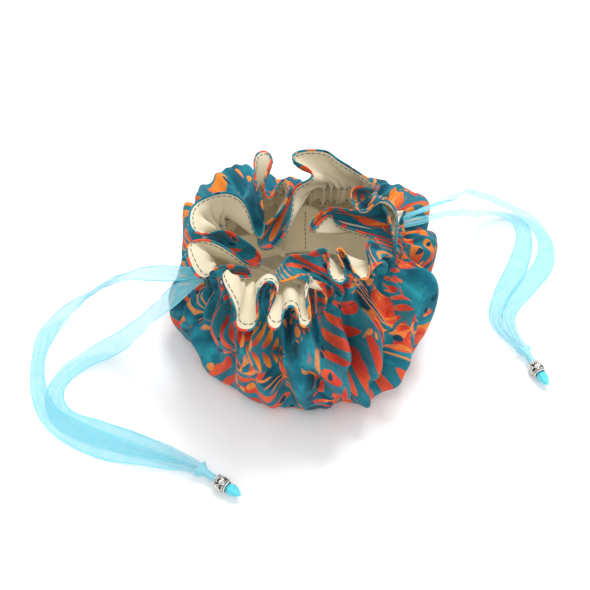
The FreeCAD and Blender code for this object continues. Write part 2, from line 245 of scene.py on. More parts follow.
def curve(x, xs, ys):
    """A smooth curve through the points (xs, ys)."""
    xs, ys = np.asarray(xs, dtype=float), np.asarray(ys, dtype=float)
    slope = np.gradient(ys, xs)
    k = np.clip(np.searchsorted(xs, x) - 1, 0, len(xs) - 2)
    h = xs[k + 1] - xs[k]
    t = (x - xs[k]) / h
    return ((2 * t ** 3 - 3 * t ** 2 + 1) * ys[k] + (t ** 3 - 2 * t ** 2 + t) * h * slope[k]
            + (-2 * t ** 3 + 3 * t ** 2) * ys[k + 1] + (t ** 3 - t ** 2) * h * slope[k + 1])


def smooth_loop(values, spread):
    """A closed row of values smoothed by a bell curve of that many columns."""
    n = len(values)
    reach = np.minimum(np.arange(n), n - np.arange(n))
    bell = np.exp(-0.5 * (reach / spread) ** 2)
    bell /= bell.sum()
    shaped = values if values.ndim == 2 else values[:, None]
    out = np.real(np.fft.ifft(np.fft.fft(shaped, axis=0) * np.fft.fft(bell)[:, None], axis=0))
    return out if values.ndim == 2 else out[:, 0]


def smooth_line(values, passes=6):
    """An open row of values, each averaged with its neighbours a few times."""
    for _ in range(passes):
        inner = (values[:-2] + 2 * values[1:-1] + values[2:]) / 4
        values = np.concatenate([values[:1], inner, values[-1:]])
    return values


def loop_noise(waves, seed):
    """Smooth closed noise between about -1 and 1 with that many waves round the loop."""
    rng = np.random.default_rng(seed)
    t = np.arange(COLUMNS) / COLUMNS * 2 * math.pi
    out = np.zeros(COLUMNS)
    for k in range(max(1, int(waves * 0.6)), int(waves * 1.4) + 2):
        out += rng.normal() * np.cos(k * t + rng.uniform(0, 2 * math.pi))
    return out / max(1e-9, np.abs(out).max())


# ---------------- materials
def node(tree, kind, inputs=None, **settings):
    n = tree.nodes.new(kind)
    for key, value in settings.items():
        setattr(n, key, value)
    for key, value in (inputs or {}).items():
        if isinstance(value, bpy.types.NodeSocket):
            tree.links.new(value, n.inputs[key])
        else:
            n.inputs[key].default_value = value
    return n


def calc(tree, operation, a, b=0.0, clamp=False):
    return node(tree, "ShaderNodeMath", {0: a, 1: b}, operation=operation, use_clamp=clamp).outputs[0]


def times(tree, a, b):
    return calc(tree, "MULTIPLY", a, b)


def plus(tree, a, b):
    return calc(tree, "ADD", a, b)


def minus(tree, a, b):
    return calc(tree, "SUBTRACT", a, b)


def vec(tree, operation, a, b=(0.0, 0.0, 0.0), scale=None):
    inputs = {0: a, 1: b}
    if scale is not None:
        inputs["Scale"] = scale
    return node(tree, "ShaderNodeVectorMath", inputs, operation=operation).outputs[0]


def noise_tex(tree, vector, scale, detail=3.0, rough=0.5):
    inputs = {"Vector": vector, "Scale": scale, "Detail": detail, "Roughness": rough}
    return node(tree, "ShaderNodeTexNoise", inputs)


def noise(tree, vector, scale, detail=3.0, rough=0.5):
    return noise_tex(tree, vector, scale, detail, rough).outputs["Fac"]


def step(tree, value, low, high):
    """0 below low, 1 above high, smooth between."""
    inputs = {"Value": value, "From Min": low, "From Max": high}
    return node(tree, "ShaderNodeMapRange", inputs, interpolation_type="SMOOTHSTEP").outputs[0]


def between(tree, value, low, high, least, most):
    """least below low, most above high, straight between."""
    inputs = {"Value": value, "From Min": low, "From Max": high, "To Min": least, "To Max": most}
    return node(tree, "ShaderNodeMapRange", inputs).outputs[0]


def voronoi(tree, place, cell, randomness):
    inputs = {"Vector": place, "Scale": 1 / cell, "Randomness": randomness}
    return node(tree, "ShaderNodeTexVoronoi", inputs, voronoi_dimensions="2D")


def mix(tree, factor, a, b):
    n = node(tree, "ShaderNodeMix", data_type="RGBA")
    for socket, value in ((n.inputs[0], factor), (n.inputs[6], a), (n.inputs[7], b)):
        if isinstance(value, bpy.types.NodeSocket):
            tree.links.new(value, socket)
        else:
            socket.default_value = value
    return n.outputs[2]


def colour(*levels):
    """A colour given as it shows on a screen, from 0 to 255."""
    linear = [((c / 255 + 0.055) / 1.055) ** 2.4 if c > 10 else c / 255 / 12.92 for c in levels]
    return (*linear, 1.0)


def new_material(name, roughness, **sockets):
    material = bpy.data.materials.new(name)
    material.use_nodes = True
    tree = material.node_tree
    shader = tree.nodes["Principled BSDF"]
    shader.inputs["Roughness"].default_value = roughness
    for key, value in sockets.items():
        shader.inputs[key.replace("_", " ")].default_value = value
    return material, tree, shader


def bump(tree, shader, height, strength, distance):
    relief = node(tree, "ShaderNodeBump", {"Height": height, "Strength": strength, "Distance": distance})
    tree.links.new(relief.outputs[0], shader.inputs["Normal"])


def weave_bump(tree, shader, vector, pitch, strength, distance):
    """A plain weave: two crossed thread waves of that pitch in millimetres, with some slubs."""
    split = node(tree, "ShaderNodeSeparateXYZ", {0: vector})
    warp, weft = [calc(tree, "SINE", times(tree, split.outputs[k], 2 * math.pi / pitch)) for k in (0, 1)]
    height = plus(tree, times(tree, plus(tree, warp, weft), 0.25), noise(tree, vector, 1.1, 2.0))
    bump(tree, shader, height, strength, distance)


def flat_cloth(tree):
    """Millimetres on the flat circle of cloth."""
    uv = node(tree, "ShaderNodeUVMap", uv_map="cloth").outputs[0]
    centred = vec(tree, "SUBTRACT", uv, (0.5, 0.5, 0.0))
    return vec(tree, "SCALE", centred, scale=2 * CLOTH_RADIUS)


INK = colour(14, 40, 54)
TEAL_DEEP = colour(6, 66, 86)
TEAL = colour(12, 110, 130)
TEAL_LIGHT = colour(36, 146, 160)
AQUA = colour(110, 200, 205)
RED = colour(206, 58, 38)
CORAL = colour(226, 86, 48)
ORANGE = colour(234, 134, 42)
AMBER = colour(246, 176, 70)


def fronds(tree, place, cell, offset, half_length, half_width, lobe, share):
    """Leaves scattered one to a cell, with paired lobes along a bare vein.

    Gives the lobes, the plain ground round the leaf, how far out across the leaf a place is, and a chance.
    """
    moved = vec(tree, "ADD", place, offset)
    cells = voronoi(tree, moved, cell, 0.55)
    local = vec(tree, "SUBTRACT", moved, cells.outputs["Position"])
    chance = node(tree, "ShaderNodeSeparateXYZ", {0: cells.outputs["Color"]})
    angle = times(tree, chance.outputs[0], 2 * math.pi)
    turned = node(tree, "ShaderNodeVectorRotate", {"Vector": local, "Angle": angle}, rotation_type="Z_AXIS")
    axes = node(tree, "ShaderNodeSeparateXYZ", {0: turned.outputs[0]})
    along, across = axes.outputs[0], calc(tree, "ABSOLUTE", axes.outputs[1])
    sweep = times(tree, calc(tree, "POWER", across, 0.85), 1.15)
    leaflet = calc(tree, "DIVIDE", calc(tree, "PINGPONG", plus(tree, along, sweep), lobe / 2), lobe / 2)
    end = calc(tree, "DIVIDE", along, half_length)
    width = times(tree, minus(tree, 1.0, times(tree, end, end)), half_width)
    reach = calc(tree, "DIVIDE", minus(tree, across, 0.9), calc(tree, "MAXIMUM", width, 0.01))
    belly = times(tree, times(tree, reach, minus(tree, 1.0, reach)), 4.0)
    belly = calc(tree, "SQRT", calc(tree, "MAXIMUM", belly, 0.0))
    cut = minus(tree, minus(tree, leaflet, 1.0), times(tree, belly, -0.62))
    lobes = times(tree, step(tree, cut, 0.0, 0.07), step(tree, belly, 0.02, 0.1))
    chosen = step(tree, chance.outputs[1], 1 - share, 1.001 - share)
    around = times(tree, step(tree, reach, 1.15, 0.95), chosen)
    return times(tree, lobes, chosen), around, reach, chance.outputs[2]


def spots(tree, place, cell, offset, radius, share):
    """Round blots scattered in patches."""
    moved = vec(tree, "ADD", place, offset)
    distance = times(tree, voronoi(tree, moved, cell, 0.9).outputs["Distance"], -cell)
    blot = step(tree, distance, -radius - 0.25, -radius + 0.15)
    patch = noise(tree, moved, 0.03, 1.0)
    return times(tree, blot, step(tree, patch, 1 - share, 1.02 - share))


def bands(tree, place, offset, pitch, cut_low, cut_high):
    """Bent stripes in patches."""
    moved = vec(tree, "ADD", place, offset)
    bent = noise(tree, moved, 0.018, 1.0)
    wave = calc(tree, "PINGPONG", times(tree, bent, 100.0), pitch / 2)
    line = step(tree, calc(tree, "DIVIDE", wave, pitch / 2), cut_low, cut_high)
    patch = noise(tree, vec(tree, "ADD", moved, (90.0, 30.0, 0.0)), 0.022, 1.0)
    return times(tree, line, step(tree, patch, 0.53, 0.55))


def leaf_colour(tree, warm, reach, tint):
    """Red by the vein, coral further out, orange on some leaves."""
    outer = step(tree, plus(tree, reach, times(tree, warm, 0.9)), 0.75, 1.2)
    orange = step(tree, plus(tree, times(tree, reach, 0.4), tint), 0.85, 1.15)
    return mix(tree, orange, mix(tree, outer, RED, CORAL), ORANGE)


def mottled_teal(tree, flat, wash):
    mottle = noise(tree, flat, 0.03, 3.0, 0.55)
    ground = mix(tree, step(tree, mottle, 0.38, 0.52), TEAL_DEEP, TEAL)
    pale = times(tree, step(tree, mottle, 0.46, 0.6), step(tree, wash, 0.4, 0.6))
    return mix(tree, pale, ground, TEAL_LIGHT)


# The two kinds of leaf: cell, offset, half length, half width, pitch of the lobes, share of the cells
LEAVES = ((44.0, (130.0, 70.0, 0.0), 19.0, 12.0, 6.5, 0.6), (68.0, (0.0, 0.0, 0.0), 38.0, 27.0, 12.0, 0.85))


def printed_cotton():
    """Leaves, stripes and spots in warm colours over mottled teal, on a plain weave."""
    material, tree, shader = new_material("printed_cotton", 0.82, Sheen_Weight=0.05, Sheen_Roughness=0.5,
                                          Specular_IOR_Level=0.25)
    flat = flat_cloth(tree)
    wobble = noise_tex(tree, flat, 0.045, 2.0).outputs["Color"]
    shift = vec(tree, "SCALE", vec(tree, "SUBTRACT", wobble, (0.5, 0.5, 0.5)), scale=8.0)
    place = vec(tree, "MULTIPLY", vec(tree, "ADD", flat, shift), (1.0, 1.0, 0.0))

    wash = noise(tree, vec(tree, "ADD", flat, (300.0, 0.0, 0.0)), 0.08, 4.0, 0.6)
    warm = noise(tree, flat, 0.1, 3.0, 0.6)
    coral_amber = mix(tree, warm, CORAL, AMBER)
    ground = mottled_teal(tree, flat, wash)

    warm_colour = mix(tree, step(tree, warm, 0.4, 0.5), RED, CORAL)
    warm_colour = mix(tree, step(tree, warm, 0.54, 0.6), warm_colour, ORANGE)
    broad = bands(tree, place, (40.0, 0.0, 0.0), 10.0, 0.46, 0.52)
    ground = mix(tree, broad, ground, warm_colour)
    thin = bands(tree, place, (-70.0, 55.0, 0.0), 4.6, 0.66, 0.76)
    ground = mix(tree, times(tree, thin, 0.85), ground, coral_amber)

    between_lobes = mix(tree, wash, TEAL_DEEP, TEAL_LIGHT)
    for leaf in LEAVES:
        lobes, around, reach, tint = fronds(tree, place, *leaf)
        ground = mix(tree, times(tree, around, 0.97), ground, between_lobes)
        ground = mix(tree, lobes, ground, leaf_colour(tree, warm, reach, tint))

    ground = mix(tree, spots(tree, place, 8.5, (17.0, 140.0, 0.0), 2.5, 0.4), ground, coral_amber)
    ground = mix(tree, spots(tree, place, 11.0, (210.0, -60.0, 0.0), 1.8, 0.42), ground, TEAL_DEEP)
    fade = noise(tree, flat, 0.6, 3.0, 0.7)
    ground = mix(tree, times(tree, step(tree, fade, 0.52, 0.75), 0.1), ground, AQUA)
    grain = noise(tree, flat, 0.6, 4.0, 0.8)
    ground = mix(tree, times(tree, step(tree, grain, 0.46, 0.72), 0.38), ground, INK)
    tree.links.new(ground, shader.inputs["Base Color"])
    weave_bump(tree, shader, flat, 0.55, 0.35, 0.00012)
    return material


def cream_cotton(name, tint, painted_glow):
    """Unprinted cotton with darker flecks. The last argument sets painted light: a faint self-glow in the
    cream's own colour, standing in for the light that thin cotton lets through and lifting its shade inside
    the bag.
    """
    material, tree, shader = new_material(name, 0.85, Sheen_Weight=0.15, Sheen_Roughness=0.5,
                                          Specular_IOR_Level=0.2)
    flat = flat_cloth(tree)
    mottle = noise(tree, flat, 0.06, 3.0, 0.5)
    shade = colour(*[int(c * 0.955) for c in tint])
    base = mix(tree, step(tree, mottle, 0.3, 0.7), shade, colour(*tint))
    fleck = times(tree, step(tree, noise(tree, flat, 1.6, 2.0, 0.6), 0.52, 0.75), 0.5)
    tree.links.new(mix(tree, fleck, base, colour(198, 182, 148)), shader.inputs["Base Color"])
    weave_bump(tree, shader, flat, 0.6, 0.45, 0.00014)
    # Painted light: the cream glows faintly by itself in its own colour.
    shader.inputs["Emission Color"].default_value = colour(*tint)
    shader.inputs["Emission Strength"].default_value = painted_glow
    return material


def thread_material():
    material, tree, shader = new_material("green_thread", 0.55, Sheen_Weight=0.2)
    tone = noise(tree, node(tree, "ShaderNodeTexCoord").outputs["Object"], 900.0, 2.0)
    tree.links.new(mix(tree, tone, colour(8, 46, 52), colour(30, 88, 90)), shader.inputs["Base Color"])
    return material


def organza(name, pale, deep, thin, dense):
    """Sheer ribbon: fine crossed threads, a denser woven edge."""
    material, tree, shader = new_material(name, 0.42, Sheen_Weight=0.35, Sheen_Roughness=0.3,
                                          Specular_IOR_Level=0.4)
    uv = node(tree, "ShaderNodeUVMap", uv_map="cloth").outputs[0]
    axes = node(tree, "ShaderNodeSeparateXYZ", {0: uv})
    edge = step(tree, calc(tree, "ABSOLUTE", minus(tree, axes.outputs[0], 0.5)), 0.43, 0.46)
    width = times(tree, axes.outputs[0], RIBBON_WIDTH)
    flat = node(tree, "ShaderNodeCombineXYZ", {0: width, 1: axes.outputs[1]}).outputs[0]
    threads = noise(tree, vec(tree, "MULTIPLY", flat, (3.0, 0.25, 1.0)), 2.2, 2.0)
    cloud = noise(tree, flat, 0.16, 2.0)
    weight = plus(tree, times(tree, threads, 0.7), times(tree, cloud, 0.3))
    veil = between(tree, weight, 0.3, 0.7, thin, dense)
    alpha = calc(tree, "ADD", veil, times(tree, edge, 0.3), clamp=True)
    tree.links.new(alpha, shader.inputs["Alpha"])
    depth = calc(tree, "MAXIMUM", step(tree, weight, 0.3, 0.7), edge)
    tree.links.new(mix(tree, depth, pale, deep), shader.inputs["Base Color"])
    bump(tree, shader, threads, 0.3, 0.0002)
    return material


def silver(name, dark):
    """Cast silver, bright on the raised parts and tarnished on the ground."""
    material, tree, shader = new_material(name, 0.4, Metallic=1.0)
    place = node(tree, "ShaderNodeTexCoord").outputs["Object"]
    tarnish = noise(tree, place, 700.0, 3.0, 0.6)
    if dark:
        tint = mix(tree, tarnish, colour(62, 60, 56), colour(120, 118, 112))
    else:
        tint = mix(tree, step(tree, tarnish, 0.36, 0.52), colour(196, 194, 190), colour(244, 244, 240))
    tree.links.new(tint, shader.inputs["Base Color"])
    tree.links.new(between(tree, tarnish, 0.0, 1.0, 0.2, 0.5), shader.inputs["Roughness"])
    bump(tree, shader, tarnish, 0.25, 0.0001)
    return material


# ---------------- camera
def place_camera():
    camera = bpy.data.objects.new("camera", bpy.data.cameras.new("camera"))
    bpy.context.scene.collection.objects.link(camera)
    bpy.context.scene.camera = camera
    camera.data.lens = CAMERA_LENS
    camera.data.sensor_width = 36.0
    camera.data.clip_start = 0.01
    azimuth, elevation = math.radians(CAMERA_AZIMUTH), math.radians(CAMERA_ELEVATION)
    level = math.cos(elevation)
    back = Vector((math.sin(azimuth) * level, -math.cos(azimuth) * level, math.sin(elevation)))
    right = Vector((0, 0, 1)).cross(back).normalized()
    turned = Matrix((right, back.cross(right), back)).transposed().to_4x4()
    camera.matrix_world = Matrix.Translation(Vector(CAMERA_PLACE) * MM) @ turned


place_camera()

RIBBON = organza("aqua_organza", colour(160, 228, 240), colour(108, 208, 228), 0.46, 0.66)
SATIN = organza("turquoise_ribbon", colour(120, 232, 244), colour(60, 205, 228), 0.86, 1.0)
SILVER = silver("silver", False)
TARNISH = silver("dark_silver", True)
PRINT = printed_cotton()
# Painted light in the last numbers: the lining glows faintly, and the pockets get a paler cream and a
# stronger glow to lift their shade inside the bag.
CREAM = cream_cotton("cream_cotton", (219, 208, 181), 0.03)
POCKET_CREAM = cream_cotton("pocket_cotton", (230, 218, 190), 0.15)
THREAD = thread_material()


# ---------------- ribbons
def route_line(name, spacing):
    """Points along the route's smooth line, in millimetres, and the line's length."""
    data = bpy.data.curves.new(name + "_line", "CURVE")
    data.dimensions = "3D"
    data.resolution_u = 24
    spline = data.splines.new("NURBS")
    spline.points.add(len(ROUTES[name]) - 1)
    for point, place in zip(spline.points, ROUTES[name]):
        point.co = [c * MM for c in place] + [1.0]
    spline.order_u = 3
    spline.use_endpoint_u = True
    holder = bpy.data.objects.new(name + "_line", data)
    line = np.array([v.co for v in bpy.data.meshes.new_from_object(holder).vertices]) / MM
    bpy.data.objects.remove(holder)
    run = run_along(line)
    count = int(run[-1] / spacing) + 1
    at = np.linspace(0, run[-1], count)
    return at_runs(at, run, line), at


def soft_noise(at, pitch, seed):
    """Smooth noise between about -1 and 1 along a line."""
    rng = np.random.default_rng(seed)
    knots = np.arange(-pitch, at[-1] + 3 * pitch, pitch)
    values = rng.uniform(-1, 1, len(knots))
    k = np.clip(((at - knots[0]) / pitch).astype(int), 0, len(knots) - 2)
    share = ease((at - knots[k]) / pitch)
    return values[k] * (1 - share) + values[k + 1] * share


STRIP_COLUMNS = 17
# How far each strand is spread open along its way, as shares of the ribbon's width
OPENNESS = {
    "ribbon_left_upper": [0.36, 0.6, 0.55, 0.36, 0.42, 0.6, 0.5, 0.62, 0.9, 0.95, 0.6, 0.24],
    "ribbon_left_lower": [0.4, 0.85, 1.0, 1.0, 0.95, 0.7, 0.6, 0.8, 0.95, 0.9, 0.62, 0.24],
    "ribbon_right_upper": [0.34, 0.36, 0.4, 0.5, 0.45, 0.5, 0.55, 0.6, 0.76, 0.7, 0.45, 0.22],
    "ribbon_right_lower": [0.34, 0.34, 0.4, 0.5, 0.6, 0.62, 0.6, 0.72, 0.76, 0.6, 0.42, 0.22],
}


def ribbon_strip(name, lift, seed, twist):
    """A strip of organza along its route: crumpled at the exit, flat on the table, gathered at the bead."""
    line, at = route_line(name, 1.1)
    length = at[-1]
    tangent = unit(np.gradient(line, axis=0))
    side = unit(np.cross(tangent, [0, 0, 1.0]))
    normal = np.cross(side, tangent)
    into_bead = ease((length - at - 1) / 16)
    on_table = 1 - ease((line[:, 2] - 2.2) / 5)
    shares = OPENNESS[name]
    open_share = curve(at / length, np.linspace(0, 1, len(shares)), shares)
    width = RIBBON_WIDTH * open_share * (1 + 0.05 * soft_noise(at, 17, seed))
    roll = twist * (1 - ease(at / 95)) * ease(at / 14) + 0.22 * soft_noise(at, 23, seed + 1) * into_bead
    roll = (roll * (1 - 0.75 * on_table))[:, None]

    v = np.linspace(-1, 1, STRIP_COLUMNS)[None, :]
    phase = 2.0 * soft_noise(at, 19, seed + 2)[:, None]
    height = 1.1 * (1 - open_share)[:, None] * np.sin(v * 7.5 + phase)
    wave = 0.5 * soft_noise(at, 9, seed + 3)[:, None] * v
    wave = wave + 0.35 * soft_noise(at, 13, seed + 4)[:, None]
    wave = wave + 0.45 * (1 - v ** 2) * soft_noise(at, 15, seed + 5)[:, None]
    height = height + wave * into_bead[:, None]

    turned_side = side * np.cos(roll) + normal * np.sin(roll)
    turned_up = normal * np.cos(roll) - side * np.sin(roll)
    centre = line.copy()
    centre[:, 2] -= (1.15 - lift) * on_table * into_bead
    across = v * width[:, None] / 2
    grid = centre[:, None, :] + turned_side[:, None, :] * across[..., None]
    grid = grid + turned_up[:, None, :] * height[..., None]
    grid[..., 2] = np.maximum(grid[..., 2], 0.35 + 0.35 * lift)
    uv = np.stack(np.broadcast_arrays(v / 2 + 0.5, at[:, None]), axis=-1)
    faces = grid_faces(len(at), STRIP_COLUMNS, wrap=False)
    piece = mesh_object(name + "_organza", grid.reshape(-1, 3), faces, RIBBON, uv.reshape(-1, 2))
    return piece, line, length


# ---------------- beads and tips
def bead_frame(side):
    middle, direction = BEAD[side]
    axis = unit(np.array(direction))
    lateral = np.array([-axis[1], axis[0], 0.0])
    return np.array(middle), axis, lateral, np.array([0.0, 0.0, 1.0])


# Radius of the gathered ribbon along the bead's line, from the fan behind it to the point, millimetres
TIP_PROFILE = [
    (-14.4, 4.0), (-12.8, 3.5), (-11.6, 2.6), (-10.2, 1.6), (-7, 1.55), (-5, 1.55), (-4, 1.6), (0, 1.6),
    (3.4, 1.65), (4.2, 2.1), (5.2, 2.55), (6.6, 2.5), (8.2, 2.0), (9.6, 1.3), (10.8, 0.6), (11.4, 0.12),
]


class Parts:
    """Collects tubes, balls and turned shapes into one mesh."""

    def __init__(self):
        self.points, self.faces, self.kinds = [], [], []

    def add(self, points, faces, kind):
        start = len(self.points)
        self.points.extend([tuple(p) for p in points])
        self.faces.extend([tuple(start + i for i in f) for f in faces])
        self.kinds.extend([kind] * len(faces))

    def grid(self, grid, kind, wrap_rows=False):
        rows, columns = grid.shape[:2]
        faces = grid_faces(rows, columns)
        if wrap_rows:
            last = (rows - 1) * columns
            for column in range(columns):
                after = (column + 1) % columns
                faces.append((last + column, last + after, after, column))
        self.add(grid.reshape(-1, 3), faces, kind)

    def tube(self, line, radius, kind, sides=6, closed=False, up=(0, 0, 1.0)):
        line = np.asarray(line, dtype=float)
        if closed:
            tangent = unit(np.roll(line, -1, axis=0) - np.roll(line, 1, axis=0))
        else:
            tangent = unit(np.gradient(line, axis=0))
        first = unit(np.cross(tangent, np.broadcast_to(up, tangent.shape)))
        second = np.cross(first, tangent)
        turn = np.arange(sides) / sides * 2 * math.pi
        radii = np.broadcast_to(np.asarray(radius, dtype=float), (len(line),))
        ring = first[:, None, :] * np.cos(turn)[:, None] + second[:, None, :] * np.sin(turn)[:, None]
        self.grid(line[:, None, :] + ring * radii[:, None, None], kind, wrap_rows=closed)

    def ball(self, centre, radius, kind, rings=5, sides=8):
        tilt = np.linspace(0.12, math.pi - 0.12, rings)
        turn = np.arange(sides) / sides * 2 * math.pi
        shape = np.stack([np.sin(tilt)[:, None] * np.cos(turn), np.sin(tilt)[:, None] * np.sin(turn),
                          np.broadcast_to(np.cos(tilt)[:, None], (rings, sides))], axis=-1)
        self.grid(np.asarray(centre) + shape * radius, kind)

    def build(self, name, materials):
        piece = mesh_object(name, self.points, self.faces, materials[0])
        for material in materials[1:]:
            piece.data.materials.append(material)
        piece.data.polygons.foreach_set("material_index", self.kinds)
        return piece


def bead(side):
    """A cast silver barrel: rope collars, two bands of scrolls and rows of grains on a dark ground."""
    middle, axis, lateral, high = bead_frame(side)
    parts = Parts()

    def place(along, radius, turn):
        along, radius, turn = (np.asarray(c, dtype=float)[..., None] for c in (along, radius, turn))
        out = np.cos(turn) * lateral + np.sin(turn) * high
        return middle + BEAD_SHARE * (along * axis + radius * out)

    turn = np.arange(48) / 48 * 2 * math.pi
    half = BEAD_LENGTH / 2
    collar = [(-half + 0.15, 2.2), (-half, 2.5), (-half, 3.0), (-half + 0.5, 3.2)]
    barrel = collar + [(-2.4, 3.35), (-1.4, 3.6)]
    profile = np.array(barrel + [(0, 3.68)] + [(-along, radius) for along, radius in reversed(barrel)])
    parts.grid(place(profile[:, :1], profile[:, 1:], turn[None, :]), 1)

    fine = np.arange(96) / 96 * 2 * math.pi
    for along, radius, thick in ((3.45, 3.15, 0.34), (2.45, 3.42, 0.2), (0, 3.74, 0.18)):
        for end in (-1, 1) if along else (1,):
            rope = thick * (1 + 0.28 * np.sin(fine * 22))
            parts.tube(place(end * along, radius, fine), rope, 0, closed=True, up=axis)

    scrolls = 4
    t = np.linspace(0, 1, 34)
    size = 1.5 * (1 - 0.8 * t)
    for k in range(scrolls):
        for flip in (-1, 1):
            centre_turn = 2 * math.pi * (k + 0.25 * flip) / scrolls
            level = 0.55 * flip
            curl = 3.1 * math.pi * t * flip + 1.2
            along = level + size * np.sin(curl)
            around = centre_turn + size * np.cos(curl) / 3.7
            line = place(along, 3.85 - 0.045 * along ** 2, around)
            parts.tube(line, 0.3 - 0.07 * t, 0, sides=7, up=axis + 0.01)
            parts.ball(place(level, 3.85, centre_turn), 0.36, 0)
            parts.ball(place(-1.95 * flip, 3.6, centre_turn + 0.15), 0.34, 0)
            parts.ball(place(1.95 * flip, 3.6, centre_turn + 0.42), 0.26, 0)
    return parts.build(f"bead_{side}_barrel", [SILVER, TARNISH])


def tip(side):
    """Both strands through the bead: a sheer pleated fan behind it, a folded satin point beyond it."""
    middle, axis, lateral, high = bead_frame(side)
    turn = np.arange(56) / 56 * 2 * math.pi
    knots = np.arange(len(TIP_PROFILE))
    fine = np.linspace(0, len(TIP_PROFILE) - 1, 60)
    along, radius = (np.interp(fine, knots, [knot[k] for knot in TIP_PROFILE]) for k in (0, 1))
    radius = smooth_line(radius)
    fade = 1 - 0.6 * ease((along - 9) / 3)
    pleats = 1 + 0.16 * np.sin(turn * 7 + 1.2 * np.sin(turn * 2)) * fade[:, None]
    flat = 1 - 0.28 * ease((along - 4.5) / 4) - 0.5 * (1 - ease((along + 14) / 7))
    sideways = radius[:, None] * pleats * np.cos(turn)
    upwards = radius[:, None] * pleats * np.sin(turn) * flat[:, None]
    grid = middle + along[:, None, None] * axis + sideways[..., None] * lateral + upwards[..., None] * high
    grid[..., 2] = np.maximum(grid[..., 2], 0.4)
    uv = np.stack(np.broadcast_arrays(turn / 2 / math.pi * 0.5 + 0.25, along[:, None]), axis=-1)
    faces = grid_faces(len(along), len(turn))
    piece = mesh_object(f"ribbon_tip_{side}_folded", grid.reshape(-1, 3), faces, SATIN, uv.reshape(-1, 2))
    piece.data.materials.append(RIBBON)
    behind_bead = np.repeat(along[:-1] < -3.2, len(turn)).astype(int)
    piece.data.polygons.foreach_set("material_index", behind_bead)
    return piece


# How high each strand lies on the other, the seed of its creases and its twist
STRANDS = {
    "left": (("ribbon_left_upper", 0.75, 11, 0.5), ("ribbon_left_lower", 0.0, 23, 0.15)),
    "right": (("ribbon_right_upper", 0.75, 37, 0.5), ("ribbon_right_lower", 0.0, 41, -0.3)),
}
for side, strands in STRANDS.items():
    barrel, point = bead(side), tip(side)
    belongs(barrel, f"{side}_bead", f"bead_{side}")
    belongs(point, f"{side}_ribbon", f"ribbon_tip_{side}")
    for name, lift, seed, twist in strands:
        strip, line, length = ribbon_strip(name, lift, seed, twist)
        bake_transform(strip)
        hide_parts(name)


# ---------------- the cloth's shape
def closed_curve(points, count):
    """A closed smooth line through the points, divided evenly."""
    points = np.asarray(points, dtype=float)
    before, after, far = np.roll(points, 1, 0), np.roll(points, -1, 0), np.roll(points, -2, 0)
    straight, bend = after - before, 2 * before - 5 * points + 4 * after - far
    turn_back = 3 * points - before - 3 * after + far
    steps = np.linspace(0, 1, 12, endpoint=False)
    pieces = [0.5 * (2 * points + straight * t + bend * t ** 2 + turn_back * t ** 3) for t in steps]
    dense = np.stack(pieces, axis=1).reshape(-1, 3)
    dense = np.concatenate([dense, dense[:1]])
    run = run_along(dense)
    at = np.arange(count) / count * run[-1]
    return at_runs(at, run, dense)


def angle_gap(a, b):
    return (a - b + 180) % 360 - 180


def hump(x, centre, spread):
    """A bell curve, 1 at the centre."""
    return np.exp(-((x - centre) / spread) ** 2)


# Distance from the middle of the flat circle, half width, half depth and height
LEVELS = [(0.0, 0.0, 0.0, 0.5), (25.0, 27.0, 26.0, 0.5), (44.0, 47.5, 45.0, 0.5)]
LEVELS += [(s, w, d, max(z, 0.5)) for z, w, d, s in BODY]
LEVELS += [(130.0, 52.0, 38.5, 54.2), (134.0, 51.0, 36.5, 57.0), (141.0, NECK_WIDTH, NECK_DEPTH, 61.5),
           (CHANNEL_TOP_CUT, NECK_WIDTH, NECK_DEPTH, NECK_TOP)]
CUTS, WIDTHS, DEPTHS, HEIGHTS = [np.array(c) for c in zip(*LEVELS)]
# Distances of the cloth's levels from the middle of the flat circle: closer together towards the neck
BODY_CUTS = [np.linspace(1.5, 46, 10), np.arange(50, 112, 1.5), np.arange(112, CHANNEL_TOP_CUT)]
ROWS = np.concatenate(BODY_CUTS + [np.linspace(CHANNEL_TOP_CUT, CLOTH_RADIUS, 28)])
SHARE = np.arange(COLUMNS) / COLUMNS
NECK_DIRECTION = RIM_START + 360 * SHARE


def wander(waves, seed, count=4):
    """Closed noises to blend from one to the next up the cloth, so that folds shift and fade."""
    return [loop_noise(waves, seed + k) for k in range(count)]


def blend_rows(noises, at):
    at = min(max(at, 0.0), len(noises) - 1.001)
    k = int(at)
    share = at - k
    return noises[k] * math.cos(share * math.pi / 2) + noises[k + 1] * math.sin(share * math.pi / 2)


GATHERS, MIDDLE_FOLDS, BROAD_FOLDS = wander(58, 100), wander(27, 200), wander(9, 300)
CREASES = wander(44, 400, 8)
RIPPLES = wander(26, 500)


def level_shape(cut):
    """Half width, half depth and height of one level, and its rise and growth over 1 mm of cloth."""
    width, depth, height = (float(curve(cut, CUTS, c)) for c in (WIDTHS, DEPTHS, HEIGHTS))
    after, before = min(cut + 0.5, CHANNEL_TOP_CUT), max(cut - 0.5, 0.0)
    rise, grow = (float(curve(after, CUTS, c)) - float(curve(before, CUTS, c)) for c in (HEIGHTS, WIDTHS))
    return width, depth, height, rise, grow


